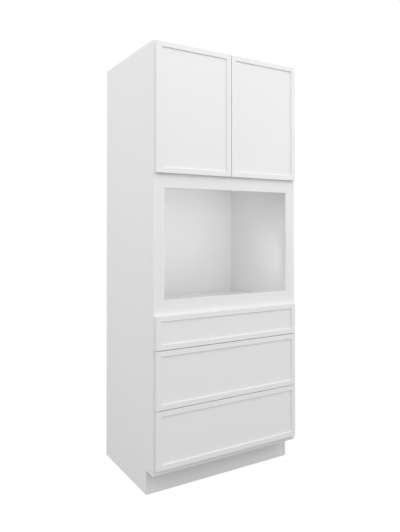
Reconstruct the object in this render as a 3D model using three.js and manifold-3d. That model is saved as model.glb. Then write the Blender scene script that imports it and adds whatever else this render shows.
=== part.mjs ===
// A tall oven housing unit: a white painted face-frame cabinet with two doors over an open oven
// cavity and three drawers under it, on a recessed toe kick.
// Millimetres. +Z is up, the front faces -Y and +X is the viewer's right. The origin is the middle
// of the bottom of the whole unit's box.
import * as THREE from 'three';
import { mergeVertices } from 'three/addons/utils/BufferGeometryUtils.js';
import Module from 'manifold-3d';

const wasm = await Module();
wasm.setup();

const INCH = 25.4;

// ---------------------------------------------------------------- carcass
const CABINET_WIDTH = 33 * INCH;
const CABINET_HEIGHT = 84 * INCH;
const CABINET_DEPTH = 24 * INCH; // front of the face frame to the rear edges of the sides
const BOARD = 0.75 * INCH; // sides, decks, shelf and toe board
const BACK_BOARD = 0.5 * INCH;
const BACK_INSET = 0.25 * INCH; // rear edges of the sides past the back panel
const DADO_DEPTH = 0.25 * INCH; // grooves in the sides that hold the decks and the back
const DECK_TONGUE = 0.5 * INCH; // thickness of a deck's tongue, which is flush with its underside
const BACK_TONGUE = 0.25 * INCH; // thickness of the back's tongue, which is flush with its front
const TOE_HEIGHT = 4.5 * INCH;
const TOE_DEPTH = 3 * INCH;
const OVEN_DECK_DROP = 2.125 * INCH; // oven deck below the bottom edge of the oven opening
const SHELF_SETBACK = 0.25 * INCH; // front edge of the shelf behind the face frame
const FIT = 0.2; // gap left between two boards or fittings that meet

// ---------------------------------------------------------------- face frame
const FRAME_BOARD = 0.75 * INCH;
const STILE_WIDTH = 1.5 * INCH;
const FILLER_WIDTH = 0.75 * INCH; // strip that narrows the frame to the oven opening
const TOP_RAIL_HEIGHT = 1.5 * INCH;
const OVEN_RAIL_HEIGHT = 3.25 * INCH; // head rail and sill rail round the oven opening
const DIVIDING_RAIL_HEIGHT = 1.5 * INCH;
const BOTTOM_RAIL_HEIGHT = 1.5 * INCH;
const OVEN_OPENING_HEIGHT = 20.75 * INCH;

// ---------------------------------------------------------------- doors and drawer fronts
const FRONT_BOARD = 0.75 * INCH;
const FRONT_STANDOFF = 0.0625 * INCH; // bumper gap between a closed front and the face frame
const FRONT_BORDER = 1.0 * INCH; // raised border round the recessed field
const FIELD_RECESS = 0.25 * INCH;
const FIELD_CORNER = 2; // radius that the router bit leaves in the corners of the field
const RIM_CHAMFER = 0.6; // broken edge between the border and the field
const EDGE_CHAMFER = 1.2; // broken outer edges of a front
const SIDE_REVEAL = 0.3 * INCH; // face frame that shows beside a front
const BOTTOM_REVEAL = 1.0 * INCH; // under the lowest front
const TOP_REVEAL = 0.25 * INCH; // over the doors
const SILL_SHOWN = 2.75 * INCH; // sill rail that shows over the upper drawer front
const HEAD_SHOWN = 2.625 * INCH; // head rail that shows under the doors
const FRONT_GAP = 0.125 * INCH; // between two fronts
const DEEP_FRONT_HEIGHT = 10.75 * INCH;
const SHALLOW_FRONT_HEIGHT = 6.25 * INCH;

// ---------------------------------------------------------------- drawer boxes
const BOX_WALL = 0.625 * INCH;
const BOX_BOTTOM = 0.25 * INCH;
const BOX_BOTTOM_RISE = 0.5 * INCH; // bottom panel above the lower edge of the walls
const BOX_GROOVE = 6; // depth of the groove that holds the bottom panel
const BOX_EDGE = 1.2; // broken edges of the walls
const BOX_LIFT = 0.5 * INCH; // box above the rail under it
const DEEP_BOX_ALLOWANCE = 2.75 * INCH; // a deep front is this much taller than its box
const SHALLOW_BOX_ALLOWANCE = 2.25 * INCH; // a shallow front is this much taller than its box

// ---------------------------------------------------------------- drawer slides
const SLIDE_REAR_ROOM = 3 * INCH; // cabinet depth that the slides leave over
const SLIDE_THICKNESS = 0.5 * INCH; // space between the stile's edge and the drawer box
const SLIDE_HEIGHT = 45.7;
const SLIDE_SETBACK = 3; // front end of the slide behind the front of the face frame
const SLIDE_RISE = 2 * INCH; // middle of the slide above the lower edge of the box
const SLIDE_STEEL = 1.2;
const SLIDE_RUN_GAP = 0.5; // between two members, where the balls run
const SLIDE_CORNER = 2.4; // outer bend radius of a member
const OUTER_REACH = 9.0; // flange tips of the outer rail, from the stile's edge
const CENTRE_REACH = 10.4; // flange tips of the centre rail, from the stile's edge
const INNER_BACKSET = 3.8; // flange tips of the inner rail, from the stile's edge
const BRACKET_HEIGHT = 20;
const BRACKET_FOOT = 17; // rear bracket's foot on the back panel
const SLIDE_HOLE_RADIUS = 2.4;
const SLIDE_HOLE_START = 37; // first screw hole from the front end
const SLIDE_HOLE_PITCH = 160;
const SLIDE_SLOT_OFFSET = 14; // slot behind each screw hole
const SLIDE_SLOT_LENGTH = 9; // between the centres of the slot's round ends
const ACCESS_LENGTH = 40; // window in the centre rail through which the rear screws are driven
const ACCESS_RADIUS = 6;

// ---------------------------------------------------------------- concealed hinges
// A hinge is drawn in its own plane: u runs outwards from the stile's inner edge, and v forwards
// from the front of the face frame.
const HINGE_FROM_END = 3.5 * INCH; // middle of a hinge from the end of its door
const CUP_BORE = 35;
const CUP_DEPTH = 11.5;
const CUP_EDGE = 5; // edge of the bore from the edge of the door
const CUP_WALL = 1;
const FLANGE_HEIGHT = 56;
const FLANGE_THICKNESS = 1.1;
const FLANGE_INWARD = 18.5; // flange past the middle of the cup, towards the arm
const FLANGE_OUTWARD = 4;
const FLANGE_CORNER = 3;
const FLANGE_SCREW_INWARD = 9.5; // screws past the middle of the cup, towards the arm
const FLANGE_SCREW_SPREAD = 45; // between the two screws of a cup
const ARM_PIN = [-3.5, 7.5]; // u and v of the pin that joins the link to the arm
const CUP_PIN = [18.5, 3.2]; // u and v of the pin that joins the link to the cup
const PIN_RADIUS = 1;
const PIN_CLEARANCE = 0.3;
const EYE_RADIUS = 2.5;
const LINK_WEB = 2.8;
const LINK_WIDTH = 6;
const EAR_THICKNESS = 2;
const ARM_ROOT = [-3.6, -9]; // u and v of the round root of the arm's ears
const ARM_ROOT_RADIUS = 3;
const PLATE_STEEL = 1.6;
const PLATE_HEIGHT = 40;
const PLATE_SCREW_SPREAD = 28; // between the two screws of a plate
const PLATE_WRAP = 14; // tongue behind the stile
const PLATE_WRAP_HEIGHT = 20;
const HINGE_HOLE_RADIUS = 2;

// ---------------------------------------------------------------- places worked out from these
const HALF_WIDTH = CABINET_WIDTH / 2;
const SIDE_INNER = HALF_WIDTH - BOARD;
const OPENING_HALF = HALF_WIDTH - STILE_WIDTH;
const OVEN_HALF = OPENING_HALF - FILLER_WIDTH;
const FRONT_HALF = HALF_WIDTH - SIDE_REVEAL;
const BACK_FRONT = CABINET_DEPTH - BACK_INSET - BACK_BOARD;

const LOWER_FRONT_Z = TOE_HEIGHT + BOTTOM_REVEAL;
const MIDDLE_FRONT_Z = LOWER_FRONT_Z + DEEP_FRONT_HEIGHT + FRONT_GAP;
const UPPER_FRONT_Z = MIDDLE_FRONT_Z + DEEP_FRONT_HEIGHT + FRONT_GAP;
const OVEN_SILL_Z = UPPER_FRONT_Z + SHALLOW_FRONT_HEIGHT + SILL_SHOWN;
const OVEN_HEAD_Z = OVEN_SILL_Z + OVEN_OPENING_HEIGHT;
const DOOR_Z = OVEN_HEAD_Z + HEAD_SHOWN;
const DOOR_HEIGHT = CABINET_HEIGHT - TOP_REVEAL - DOOR_Z;
const DOOR_WIDTH = FRONT_HALF - FRONT_GAP / 2;

const BOTTOM_DECK_TOP = TOE_HEIGHT + BOTTOM_RAIL_HEIGHT;
const OVEN_DECK_TOP = OVEN_SILL_Z - OVEN_DECK_DROP;
const UPPER_DECK_TOP = OVEN_HEAD_Z + OVEN_RAIL_HEIGHT;
const SHELF_TOP = (UPPER_DECK_TOP + CABINET_HEIGHT) / 2; // the same room under and over the shelf
const LOWER_RAIL_Z = MIDDLE_FRONT_Z - (FRONT_GAP + DIVIDING_RAIL_HEIGHT) / 2;
const UPPER_RAIL_Z = UPPER_FRONT_Z - (FRONT_GAP + DIVIDING_RAIL_HEIGHT) / 2;

const SLIDE_LENGTH = CABINET_DEPTH - SLIDE_REAR_ROOM;
const BOX_LENGTH = SLIDE_LENGTH;
const DEEP_BOX_HEIGHT = DEEP_FRONT_HEIGHT - DEEP_BOX_ALLOWANCE;
const SHALLOW_BOX_HEIGHT = SHALLOW_FRONT_HEIGHT - SHALLOW_BOX_ALLOWANCE;
const CUP_CENTRE = HALF_WIDTH - SIDE_REVEAL - OPENING_HALF - CUP_EDGE - CUP_BORE / 2;

// ---------------------------------------------------------------- finishes
const FINISHES = {
  paint: { color: 0xeeeeee, roughness: 0.42, metalness: 0 },
  interior: { color: 0xe4e4e4, roughness: 0.5, metalness: 0 },
  maple: { color: 0xd8bd92, roughness: 0.45, metalness: 0 },
  zinc: { color: 0xb9bcc0, roughness: 0.35, metalness: 1 },
  nickel: { color: 0xc8c6c1, roughness: 0.25, metalness: 1 },
};

// ---------------------------------------------------------------- shapes and solids
const CIRCLE_SIDES = 12;
const CUP_SIDES = 32;
const CORNER_STEPS = 3; // facets of a quarter turn
const END_STEPS = 4; // facets of a half turn

// Two numbers with the smaller one first.
function span(a, b) {
  return [Math.min(a, b), Math.max(a, b)];
}

function closedShape(points) {
  return new THREE.Shape(points.map(([a, b]) => new THREE.Vector2(a, b)));
}

function rectangle(left, right, bottom, top) {
  return closedShape([[left, bottom], [right, bottom], [right, top], [left, top]]);
}

// Points on a turn about (a, b), from one angle to another in degrees.
function arc(a, b, radius, from, to, steps) {
  const points = [];
  for (let i = 0; i <= steps; i += 1) {
    const angle = THREE.MathUtils.degToRad(from + ((to - from) * i) / steps);
    points.push([a + radius * Math.cos(angle), b + radius * Math.sin(angle)]);
  }
  return points;
}

function circle(a, b, radius) {
  const step = 360 / CIRCLE_SIDES;
  return closedShape(arc(a, b, radius, 0, 360 - step, CIRCLE_SIDES - 1));
}

function roundedRectangle(left, right, bottom, top, radius) {
  return closedShape([
    ...arc(right - radius, bottom + radius, radius, -90, 0, CORNER_STEPS),
    ...arc(right - radius, top - radius, radius, 0, 90, CORNER_STEPS),
    ...arc(left + radius, top - radius, radius, 90, 180, CORNER_STEPS),
    ...arc(left + radius, bottom + radius, radius, 180, 270, CORNER_STEPS),
  ]);
}

// The outline round two circles: a straight-sided link with round ends.
function linkOutline([a0, b0], r0, [a1, b1], r1) {
  const heading = THREE.MathUtils.radToDeg(Math.atan2(b1 - b0, a1 - a0));
  const lean = THREE.MathUtils.radToDeg(Math.acos((r0 - r1) / Math.hypot(a1 - a0, b1 - b0)));
  return closedShape([
    ...arc(a1, b1, r1, heading - lean, heading + lean, END_STEPS),
    ...arc(a0, b0, r0, heading + lean, heading + 360 - lean, END_STEPS),
  ]);
}

// A shape of X and Y, made solid from z0 to z1.
function upright(shape, z0, z1, edge = 0) {
  const geometry = new THREE.ExtrudeGeometry(shape, {
    depth: z1 - z0 - 2 * edge,
    bevelEnabled: edge > 0,
    bevelThickness: edge,
    bevelSize: edge,
    bevelOffset: -edge,
    bevelSegments: 1,
  });
  return geometry.translate(0, 0, z0 + edge);
}

// A shape of X and Z, made solid from y0 to y1.
function facing(shape, y0, y1, edge = 0) {
  const geometry = upright(shape, -y1, -y0, edge);
  return geometry.rotateX(Math.PI / 2);
}

// A shape of Y and Z, made solid from x0 to x1.
function sideways(shape, x0, x1) {
  const turn = new THREE.Matrix4().makeBasis(
    new THREE.Vector3(0, 1, 0),
    new THREE.Vector3(0, 0, 1),
    new THREE.Vector3(1, 0, 0),
  );
  return upright(shape, x0, x1).applyMatrix4(turn);
}

function block(x0, x1, y0, y1, z0, z1) {
  const geometry = new THREE.BoxGeometry(x1 - x0, y1 - y0, z1 - z0);
  return geometry.translate((x0 + x1) / 2, (y0 + y1) / 2, (z0 + z1) / 2);
}

// A round bar along Y, about x and z 0.
function turned(x, radius, y0, y1) {
  const bar = new THREE.CylinderGeometry(radius, radius, y1 - y0, CUP_SIDES);
  return bar.translate(x, (y0 + y1) / 2, 0);
}

function solidOf(geometry) {
  const bare = new THREE.BufferGeometry();
  bare.setAttribute('position', geometry.getAttribute('position').clone());
  if (geometry.index) bare.setIndex(geometry.index.clone());
  const welded = mergeVertices(bare, 1e-4);
  const mesh = new wasm.Mesh({
    numProp: 3,
    vertProperties: new Float32Array(welded.getAttribute('position').array),
    triVerts: new Uint32Array(welded.index.array),
  });
  return new wasm.Manifold(mesh);
}

function geometryOf(solid) {
  const mesh = solid.getMesh();
  const geometry = new THREE.BufferGeometry();
  geometry.setAttribute('position', new THREE.BufferAttribute(mesh.vertProperties, 3));
  geometry.setIndex(new THREE.BufferAttribute(mesh.triVerts, 1));
  return geometry.toNonIndexed();
}

// Adds the pieces of material to each other, then takes the tools away.
function carve(pieces, tools = []) {
  const added = pieces.map(solidOf).reduce((whole, piece) => whole.add(piece));
  const carved = tools.map(solidOf).reduce((whole, tool) => whole.subtract(tool), added);
  return geometryOf(carved);
}

function part(name, finish, geometry) {
  const mesh = new THREE.Mesh(geometry, new THREE.MeshStandardMaterial(FINISHES[finish]));
  geometry.computeVertexNormals();
  mesh.name = name;
  return mesh;
}

function group(x, y, z, ...children) {
  const made = new THREE.Group();
  made.position.set(x, y, z);
  made.add(...children);
  return made;
}

// ---------------------------------------------------------------- carcass
const DECKS = [
  { name: 'bottom_deck', top: BOTTOM_DECK_TOP, setback: 0 },
  { name: 'oven_deck', top: OVEN_DECK_TOP, setback: 0 },
  { name: 'upper_deck', top: UPPER_DECK_TOP, setback: 0 },
  { name: 'fixed_shelf', top: SHELF_TOP, setback: SHELF_SETBACK },
  { name: 'top_panel', top: CABINET_HEIGHT, setback: 0 },
];

// Side +1 is the right-hand panel and -1 the left.
function sidePanel(name, side) {
  const front = FRAME_BOARD + FIT;
  const profile = closedShape([
    [TOE_DEPTH, 0],
    [CABINET_DEPTH, 0],
    [CABINET_DEPTH, CABINET_HEIGHT],
    [front, CABINET_HEIGHT],
    [front, TOE_HEIGHT],
    [TOE_DEPTH, TOE_HEIGHT],
  ]);
  const panel = sideways(profile, -BOARD / 2, BOARD / 2);
  const inner = (-side * BOARD) / 2;
  const grooveX = [inner - DADO_DEPTH, inner + DADO_DEPTH];
  const dados = DECKS.map(({ top, setback }) => block(...grooveX,
    FRAME_BOARD + setback, BACK_FRONT,
    top - BOARD - FIT, top - BOARD + DECK_TONGUE + FIT));
  const backGroove = block(...grooveX,
    BACK_FRONT - FIT, BACK_FRONT + BACK_TONGUE + FIT,
    TOE_HEIGHT - FIT, CABINET_HEIGHT + FIT);
  const made = part(name, 'paint', carve([panel], [...dados, backGroove]));
  made.position.x = side * (HALF_WIDTH - BOARD / 2);
  return made;
}

// The section of a board that lies between the sides, with a tongue along each edge.
function tonguedSection(thickness, tongue) {
  const between = SIDE_INNER - FIT;
  const housed = between + DADO_DEPTH;
  return closedShape([
    [-housed, 0],
    [housed, 0],
    [housed, tongue],
    [between, tongue],
    [between, thickness],
    [-between, thickness],
    [-between, tongue],
    [-housed, tongue],
  ]);
}

function deck({ name, top, setback }) {
  const section = tonguedSection(BOARD, DECK_TONGUE);
  const front = FRAME_BOARD + 2 * FIT + setback;
  const made = part(name, 'interior', facing(section, front, BACK_FRONT - FIT));
  made.position.z = top - BOARD;
  return made;
}

function backPanel() {
  const section = tonguedSection(BACK_BOARD, BACK_TONGUE);
  const made = part('back_panel', 'interior', upright(section, TOE_HEIGHT, CABINET_HEIGHT));
  made.position.y = BACK_FRONT;
  return made;
}

function toeBoard() {
  const half = SIDE_INNER - FIT;
  const top = BOTTOM_DECK_TOP - BOARD - FIT;
  const made = part('toe_board', 'paint', facing(rectangle(-half, half, 0, top), 0, BOARD));
  made.position.y = TOE_DEPTH;
  return made;
}

function carcass() {
  return group(0, 0, 0, sidePanel('left_side_panel', -1), sidePanel('right_side_panel', 1),
    ...DECKS.map(deck), backPanel(), toeBoard());
}

// ---------------------------------------------------------------- face frame
function stile(name, side) {
  const outline = rectangle(-STILE_WIDTH / 2, STILE_WIDTH / 2, TOE_HEIGHT, CABINET_HEIGHT);
  const made = part(name, 'paint', facing(outline, 0, FRAME_BOARD));
  made.position.x = side * (HALF_WIDTH - STILE_WIDTH / 2);
  return made;
}

function rail(name, bottom, height) {
  const half = OPENING_HALF - FIT;
  const outline = rectangle(-half, half, 0, height);
  const made = part(name, 'paint', facing(outline, 0, FRAME_BOARD));
  made.position.z = bottom;
  return made;
}

function ovenFiller(name, side) {
  const half = (FILLER_WIDTH - FIT) / 2;
  const outline = rectangle(-half, half, FIT, OVEN_OPENING_HEIGHT - FIT);
  const made = part(name, 'paint', facing(outline, 0, FRAME_BOARD));
  made.position.set(side * (OVEN_HALF + half), 0, OVEN_SILL_Z);
  return made;
}

function faceFrame() {
  return group(0, 0, 0,
    stile('left_stile', -1),
    stile('right_stile', 1),
    rail('top_rail', CABINET_HEIGHT - TOP_RAIL_HEIGHT, TOP_RAIL_HEIGHT),
    rail('head_rail', OVEN_HEAD_Z, OVEN_RAIL_HEIGHT),
    rail('sill_rail', OVEN_SILL_Z - OVEN_RAIL_HEIGHT, OVEN_RAIL_HEIGHT),
    rail('upper_dividing_rail', UPPER_RAIL_Z, DIVIDING_RAIL_HEIGHT),
    rail('lower_dividing_rail', LOWER_RAIL_Z, DIVIDING_RAIL_HEIGHT),
    rail('bottom_rail', TOE_HEIGHT, BOTTOM_RAIL_HEIGHT),
    ovenFiller('left_oven_filler', -1),
    ovenFiller('right_oven_filler', 1));
}

// ---------------------------------------------------------------- doors and drawer fronts
// One routed board: y 0 is its front face, z 0 its lower edge and x 0 its middle.
function routedFront(width, height, bores = []) {
  const half = width / 2;
  const board = facing(rectangle(-half, half, 0, height), 0, FRONT_BOARD, EDGE_CHAMFER);
  const fieldHalf = half - FRONT_BORDER;
  const field = roundedRectangle(-fieldHalf, fieldHalf, FRONT_BORDER, height - FRONT_BORDER,
    FIELD_CORNER);
  const pocket = facing(field, -BOARD, FIELD_RECESS);
  const rim = new THREE.ExtrudeGeometry(field, {
    depth: BOARD,
    bevelThickness: RIM_CHAMFER,
    bevelSize: RIM_CHAMFER,
    bevelSegments: 1,
  });
  rim.rotateX(Math.PI / 2);
  return carve([board], [pocket, rim, ...bores]);
}

function hingeHeights() {
  return { upper: DOOR_HEIGHT - HINGE_FROM_END, lower: HINGE_FROM_END };
}

function door(name, side) {
  const bores = Object.values(hingeHeights()).map((height) => {
    const x = side * (DOOR_WIDTH / 2 - CUP_EDGE - CUP_BORE / 2);
    return turned(x, CUP_BORE / 2, FRONT_BOARD - CUP_DEPTH, 2 * FRONT_BOARD).translate(0, 0, height);
  });
  const made = part(name, 'paint', routedFront(DOOR_WIDTH, DOOR_HEIGHT, bores));
  made.position.x = side * (FRONT_HALF - DOOR_WIDTH / 2);
  return made;
}

// ---------------------------------------------------------------- concealed hinges
// Each function draws the right-hand hinge; the left-hand one is its mirror image, so every u is
// multiplied by the side. In the hinge's group x is u, y is -v and z is measured from its middle.
function mirrored(side, [u, v]) {
  return [side * u, -v];
}

function pin(side, centre, length) {
  const [x, y] = mirrored(side, centre);
  const rod = new THREE.CylinderGeometry(PIN_RADIUS, PIN_RADIUS, length, CIRCLE_SIDES);
  return rod.rotateX(Math.PI / 2).translate(x, y, 0);
}

function pinHole(side, centre) {
  const [x, y] = mirrored(side, centre);
  const radius = PIN_RADIUS + PIN_CLEARANCE;
  const hole = new THREE.CylinderGeometry(radius, radius, 2 * LINK_WIDTH, CIRCLE_SIDES);
  return hole.rotateX(Math.PI / 2).translate(x, y, 0);
}

function hingeCup(name, side) {
  const outer = (CUP_BORE - 2 * FIT) / 2;
  const inner = outer - CUP_WALL;
  const back = -(FRONT_STANDOFF - FIT / 2);
  const floor = -(FRONT_STANDOFF + CUP_DEPTH - FIT);
  const reach = span(side * (CUP_CENTRE - FLANGE_INWARD), side * (CUP_CENTRE + FLANGE_OUTWARD));
  const plate = roundedRectangle(...reach, -FLANGE_HEIGHT / 2, FLANGE_HEIGHT / 2,
    FLANGE_CORNER);
  const flange = facing(plate, back, back + FLANGE_THICKNESS);
  const bowl = turned(side * CUP_CENTRE, outer, floor, back + FLANGE_THICKNESS / 2);
  const hollow = turned(side * CUP_CENTRE, inner, floor + CUP_WALL, BOARD);
  const screwX = side * (CUP_CENTRE - FLANGE_SCREW_INWARD);
  const screwHoles = [-1, 1].map((way) => facing(
    circle(screwX, (way * FLANGE_SCREW_SPREAD) / 2, HINGE_HOLE_RADIUS), -BOARD, BOARD));
  const shell = carve([bowl, flange], [hollow, ...screwHoles]);
  const pinHalf = Math.sqrt(((inner + outer) / 2) ** 2 - (CUP_PIN[0] - CUP_CENTRE) ** 2);
  return part(name, 'nickel', carve([shell, pin(side, CUP_PIN, 2 * pinHalf)]));
}

function hingeLink(name, side) {
  const from = mirrored(side, ARM_PIN);
  const to = mirrored(side, CUP_PIN);
  const web = linkOutline(from, LINK_WEB / 2, to, LINK_WEB / 2);
  const eyes = [from, to].map(([x, y]) => circle(x, y, EYE_RADIUS));
  const solids = [web, ...eyes].map((shape) => upright(shape, -LINK_WIDTH / 2, LINK_WIDTH / 2));
  return part(name, 'nickel', carve(solids, [pinHole(side, ARM_PIN), pinHole(side, CUP_PIN)]));
}

function hingeArm(name, side) {
  const earInner = LINK_WIDTH / 2 + PIN_CLEARANCE;
  const earOuter = earInner + EAR_THICKNESS;
  const ear = linkOutline(mirrored(side, ARM_ROOT), ARM_ROOT_RADIUS, mirrored(side, ARM_PIN),
    EYE_RADIUS);
  const ears = [upright(ear, earInner, earOuter), upright(ear, -earOuter, -earInner)];
  const inwards = -side * (FIT + PLATE_STEEL);
  const rear = FRAME_BOARD + FIT + PLATE_STEEL;
  const plate = block(...span(inwards, -side * FIT), FIT, rear,
    -PLATE_HEIGHT / 2, PLATE_HEIGHT / 2);
  const tongue = block(...span(inwards, side * PLATE_WRAP), rear - PLATE_STEEL, rear,
    -PLATE_WRAP_HEIGHT / 2, PLATE_WRAP_HEIGHT / 2);
  const bridge = upright(circle(...mirrored(side, ARM_ROOT), ARM_ROOT_RADIUS), -earOuter, earOuter);
  const screwHoles = [-1, 1].map((way) => sideways(
    circle(FRAME_BOARD / 2, (way * PLATE_SCREW_SPREAD) / 2, HINGE_HOLE_RADIUS), -BOARD, BOARD));
  return part(name, 'nickel',
    carve([plate, tongue, bridge, ...ears, pin(side, ARM_PIN, 2 * earOuter)], screwHoles));
}

function hinge(hand, side, level, height) {
  const stem = `${hand}_${level}_hinge`;
  return group(side * OPENING_HALF, 0, DOOR_Z + height,
    hingeCup(`${stem}_cup`, side),
    hingeLink(`${stem}_link`, side),
    hingeArm(`${stem}_arm`, side));
}

function hungDoor(hand, side) {
  const leaf = group(0, -FRONT_STANDOFF - FRONT_BOARD, DOOR_Z, door(`${hand}_door`, side));
  const hinges = Object.entries(hingeHeights())
    .map(([level, height]) => hinge(hand, side, level, height));
  return group(0, 0, 0, leaf, ...hinges);
}

// ---------------------------------------------------------------- drawer slides
// A channel's section, drawn from its web at a to its flange tips at tip, and mirrored by side.
function channel(side, web, tip, height) {
  const way = Math.sign(tip - web);
  const half = height / 2;
  const bend = SLIDE_CORNER;
  const inside = bend - SLIDE_STEEL;
  const corner = (radius, from, to, up) => arc(web + way * bend, up * (half - bend), radius,
    from, to, CORNER_STEPS);
  const outerTop = way > 0 ? [90, 180] : [90, 0];
  const outerBottom = way > 0 ? [180, 270] : [0, -90];
  const points = [
    [tip, half],
    ...corner(bend, ...outerTop, 1),
    ...corner(bend, ...outerBottom, -1),
    [tip, -half],
    [tip, -half + SLIDE_STEEL],
    ...corner(inside, outerBottom[1], outerBottom[0], -1),
    ...corner(inside, outerTop[1], outerTop[0], 1),
    [tip, half - SLIDE_STEEL],
  ];
  return closedShape(points.map(([a, b]) => [side * a, b]));
}

const STEP_IN = 2 * (SLIDE_STEEL + SLIDE_RUN_GAP); // each member is this much lower than the last
const OUTER_WEB = FIT;
const CENTRE_WEB = OUTER_WEB + SLIDE_STEEL + SLIDE_RUN_GAP;
const INNER_WEB = SLIDE_THICKNESS - FIT;

// Screw holes along the web of a member, each with a slot behind it.
function screwCuts() {
  const cuts = [];
  for (let y = SLIDE_HOLE_START; y < SLIDE_LENGTH - SLIDE_HOLE_PITCH / 2; y += SLIDE_HOLE_PITCH) {
    const slotFront = [y + SLIDE_SLOT_OFFSET, 0];
    const slotRear = [y + SLIDE_SLOT_OFFSET + SLIDE_SLOT_LENGTH, 0];
    cuts.push(
      circle(y, 0, SLIDE_HOLE_RADIUS),
      linkOutline(slotFront, SLIDE_HOLE_RADIUS, slotRear, SLIDE_HOLE_RADIUS),
    );
  }
  return cuts.map((shape) => sideways(shape, -BOARD, BOARD));
}

// In a slide's group x 0 is the stile's inner edge, and x grows towards the drawer on the left.
function outerRail(name, side) {
  const section = facing(channel(side, OUTER_WEB, OUTER_REACH, SLIDE_HEIGHT), 0, SLIDE_LENGTH);
  const rear = BACK_FRONT - SLIDE_SETBACK - FIT;
  const inward = side * (OUTER_WEB + SLIDE_STEEL);
  const strap = block(...span(side * OUTER_WEB, inward), SLIDE_LENGTH - BRACKET_HEIGHT, rear,
    -BRACKET_HEIGHT / 2, BRACKET_HEIGHT / 2);
  const foot = block(...span(-side * BRACKET_FOOT, inward), rear - SLIDE_STEEL, rear,
    -BRACKET_HEIGHT / 2, BRACKET_HEIGHT / 2);
  return part(name, 'zinc', carve([section, strap, foot], screwCuts()));
}

function centreRail(name, side) {
  const section = channel(side, CENTRE_WEB, CENTRE_REACH, SLIDE_HEIGHT - STEP_IN);
  const ends = [SLIDE_LENGTH / 4, (3 * SLIDE_LENGTH) / 4];
  const windows = ends.map((y) => sideways(
    linkOutline([y - ACCESS_LENGTH / 2, 0], ACCESS_RADIUS, [y + ACCESS_LENGTH / 2, 0],
      ACCESS_RADIUS), -BOARD, BOARD));
  return part(name, 'zinc', carve([facing(section, 0, SLIDE_LENGTH)], windows));
}

function innerRail(name, side) {
  const section = channel(side, INNER_WEB, INNER_BACKSET, SLIDE_HEIGHT - 2 * STEP_IN);
  return part(name, 'zinc', carve([facing(section, 0, SLIDE_LENGTH)], screwCuts()));
}

function slide(drawer, hand, side, boxZ) {
  const stem = `${drawer}_${hand}`;
  return group(-side * OPENING_HALF, SLIDE_SETBACK, boxZ + SLIDE_RISE,
    outerRail(`${stem}_outer_rail`, side),
    centreRail(`${stem}_centre_rail`, side),
    innerRail(`${stem}_inner_rail`, side));
}

// ---------------------------------------------------------------- drawers
function drawerBox(name, height) {
  const half = OPENING_HALF - SLIDE_THICKNESS;
  const walls = rectangle(-half, half, 0, BOX_LENGTH);
  walls.holes.push(rectangle(-half + BOX_WALL, half - BOX_WALL, BOX_WALL, BOX_LENGTH - BOX_WALL));
  const reach = BOX_WALL - BOX_GROOVE;
  const groove = block(-half + reach, half - reach, reach, BOX_LENGTH - reach,
    BOX_BOTTOM_RISE, BOX_BOTTOM_RISE + BOX_BOTTOM + FIT);
  return part(name, 'maple', carve([upright(walls, 0, height, BOX_EDGE)], [groove]));
}

function drawerBottom(name) {
  const reach = BOX_WALL - BOX_GROOVE + FIT;
  const half = OPENING_HALF - SLIDE_THICKNESS - reach;
  const rise = BOX_BOTTOM_RISE + FIT / 2;
  return part(name, 'maple',
    upright(rectangle(-half, half, reach, BOX_LENGTH - reach), rise, rise + BOX_BOTTOM));
}

const DRAWERS = [
  { name: 'upper_drawer', frontZ: UPPER_FRONT_Z, frontHeight: SHALLOW_FRONT_HEIGHT,
    boxZ: UPPER_RAIL_Z + DIVIDING_RAIL_HEIGHT + BOX_LIFT, boxHeight: SHALLOW_BOX_HEIGHT },
  { name: 'middle_drawer', frontZ: MIDDLE_FRONT_Z, frontHeight: DEEP_FRONT_HEIGHT,
    boxZ: LOWER_RAIL_Z + DIVIDING_RAIL_HEIGHT + BOX_LIFT, boxHeight: DEEP_BOX_HEIGHT },
  { name: 'lower_drawer', frontZ: LOWER_FRONT_Z, frontHeight: DEEP_FRONT_HEIGHT,
    boxZ: TOE_HEIGHT + BOTTOM_RAIL_HEIGHT + BOX_LIFT, boxHeight: DEEP_BOX_HEIGHT },
];

function drawer({ name, frontZ, frontHeight, boxZ, boxHeight }) {
  const board = part(`${name}_front`, 'paint', routedFront(2 * FRONT_HALF, frontHeight));
  const front = group(0, -FRONT_STANDOFF - FRONT_BOARD, frontZ, board);
  const box = group(0, -FRONT_STANDOFF + FIT, boxZ,
    drawerBox(`${name}_box`, boxHeight), drawerBottom(`${name}_bottom`));
  return group(0, 0, 0, front, box,
    slide(name, 'left', 1, boxZ), slide(name, 'right', -1, boxZ));
}

// ---------------------------------------------------------------- whole unit
const FRONT_PROJECTION = FRONT_STANDOFF + FRONT_BOARD;
const ovenHousing = group(0, -(CABINET_DEPTH - FRONT_PROJECTION) / 2, 0,
  carcass(),
  faceFrame(),
  hungDoor('left', -1),
  hungDoor('right', 1),
  ...DRAWERS.map(drawer));

export default ovenHousing;
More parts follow.
